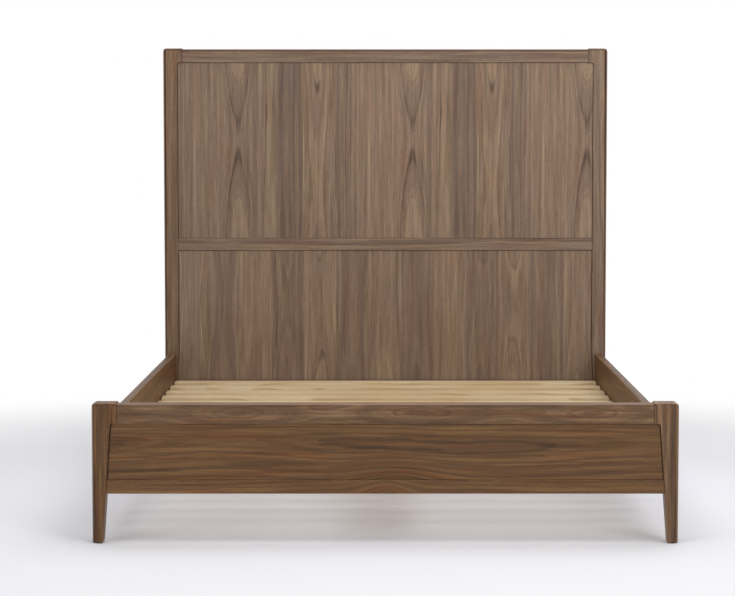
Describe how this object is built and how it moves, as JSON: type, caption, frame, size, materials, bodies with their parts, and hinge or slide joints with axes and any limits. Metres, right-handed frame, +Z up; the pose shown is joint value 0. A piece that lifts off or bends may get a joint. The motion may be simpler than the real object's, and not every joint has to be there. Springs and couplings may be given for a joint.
{
  "type": "bed frame",
  "caption": "Walnut panel bed frame with a tall boarded headboard, low footboard, hooked side rails, a slatted deck and a centre beam on levelling legs.",
  "frame": {"origin": "on the floor under the middle of the bed", "axes": "+X to the right seen from the foot end, +Y along the bed towards the headboard, +Z up"},
  "size_m": [1.636, 2.16, 1.457],
  "materials": {
    "walnut_solid": "satin lacquered solid walnut, grain along each member",
    "walnut_veneer": "satin lacquered walnut veneer, cathedral figure, grain along each board",
    "pine": "bare planed softwood",
    "zinc_steel": "zinc plated pressed steel",
    "nylon": "dark brown-black moulded nylon"
  },
  "bodies": {
    "bed_frame": {"head_post_left": "walnut_solid", "head_post_right": "walnut_solid", "head_top_rail": "walnut_solid", "head_mid_rail": "walnut_solid", "head_bottom_rail": "walnut_solid", "head_lower_panel": "walnut_veneer", "head_panel_board_1": "walnut_veneer", "head_panel_board_2": "walnut_veneer", "head_panel_board_3": "walnut_veneer", "head_panel_board_4": "walnut_veneer", "head_panel_board_5": "walnut_veneer", "head_panel_board_6": "walnut_veneer", "head_panel_board_7": "walnut_veneer", "head_panel_board_8": "walnut_veneer", "foot_post_left": "walnut_solid", "foot_post_right": "walnut_solid", "foot_top_rail": "walnut_solid", "foot_bottom_rail": "walnut_solid", "foot_panel": "walnut_veneer", "side_rail_left": "walnut_solid", "side_rail_right": "walnut_solid", "slat_ledger_left": "pine", "slat_ledger_right": "pine", "rail_hook_plate_head_left": "zinc_steel", "rail_hook_plate_head_right": "zinc_steel", "rail_hook_plate_foot_left": "zinc_steel", "rail_hook_plate_foot_right": "zinc_steel", "post_slot_plate_head_left": "zinc_steel", "post_slot_plate_head_right": "zinc_steel", "post_slot_plate_foot_left": "zinc_steel", "post_slot_plate_foot_right": "zinc_steel", "slat_01": "pine", "slat_02": "pine", "slat_03": "pine", "slat_04": "pine", "slat_05": "pine", "slat_06": "pine", "slat_07": "pine", "slat_08": "pine", "slat_09": "pine", "slat_10": "pine", "slat_11": "pine", "slat_12": "pine", "slat_13": "pine", "centre_beam": "pine", "beam_bracket_head": "zinc_steel", "beam_bracket_foot": "zinc_steel", "centre_leg_foot": "pine", "centre_leg_middle": "pine", "centre_leg_head": "pine", "post_glide_head_left": "nylon", "post_glide_head_right": "nylon", "post_glide_foot_left": "nylon", "post_glide_foot_right": "nylon"},
    "leveller_pad_foot": {"leveller_pad_foot": "nylon"},
    "leveller_stem_foot": {"leveller_stem_foot": "zinc_steel"},
    "leveller_pad_middle": {"leveller_pad_middle": "nylon"},
    "leveller_stem_middle": {"leveller_stem_middle": "zinc_steel"},
    "leveller_pad_head": {"leveller_pad_head": "nylon"},
    "leveller_stem_head": {"leveller_stem_head": "zinc_steel"}
  },
  "joints": [
    {"name": "leveller_height_foot", "type": "slide", "parent": "bed_frame", "child": "leveller_pad_foot", "axis": [0, 0, 1], "range_m": [-0.013, 0.013]},
    {"name": "leveller_turn_foot", "type": "hinge", "parent": "leveller_pad_foot", "child": "leveller_stem_foot", "pos_m": [0, -0.16, 0.006], "axis": [0, 0, 1], "range_deg": [-2880, 2880]},
    {"name": "leveller_height_middle", "type": "slide", "parent": "bed_frame", "child": "leveller_pad_middle", "axis": [0, 0, 1], "range_m": [-0.013, 0.013]},
    {"name": "leveller_turn_middle", "type": "hinge", "parent": "leveller_pad_middle", "child": "leveller_stem_middle", "pos_m": [0, 0.24, 0.006], "axis": [0, 0, 1], "range_deg": [-2880, 2880]},
    {"name": "leveller_height_head", "type": "slide", "parent": "bed_frame", "child": "leveller_pad_head", "axis": [0, 0, 1], "range_m": [-0.013, 0.013]},
    {"name": "leveller_turn_head", "type": "hinge", "parent": "leveller_pad_head", "child": "leveller_stem_head", "pos_m": [0, 0.64, 0.006], "axis": [0, 0, 1], "range_deg": [-2880, 2880]}
  ],
  "couplings": [
    {"joint": "leveller_height_foot", "follows": "leveller_turn_foot", "m_per_rad": 0.00023873},
    {"joint": "leveller_height_middle", "follows": "leveller_turn_middle", "m_per_rad": 0.00023873},
    {"joint": "leveller_height_head", "follows": "leveller_turn_head", "m_per_rad": 0.00023873}
  ]
}
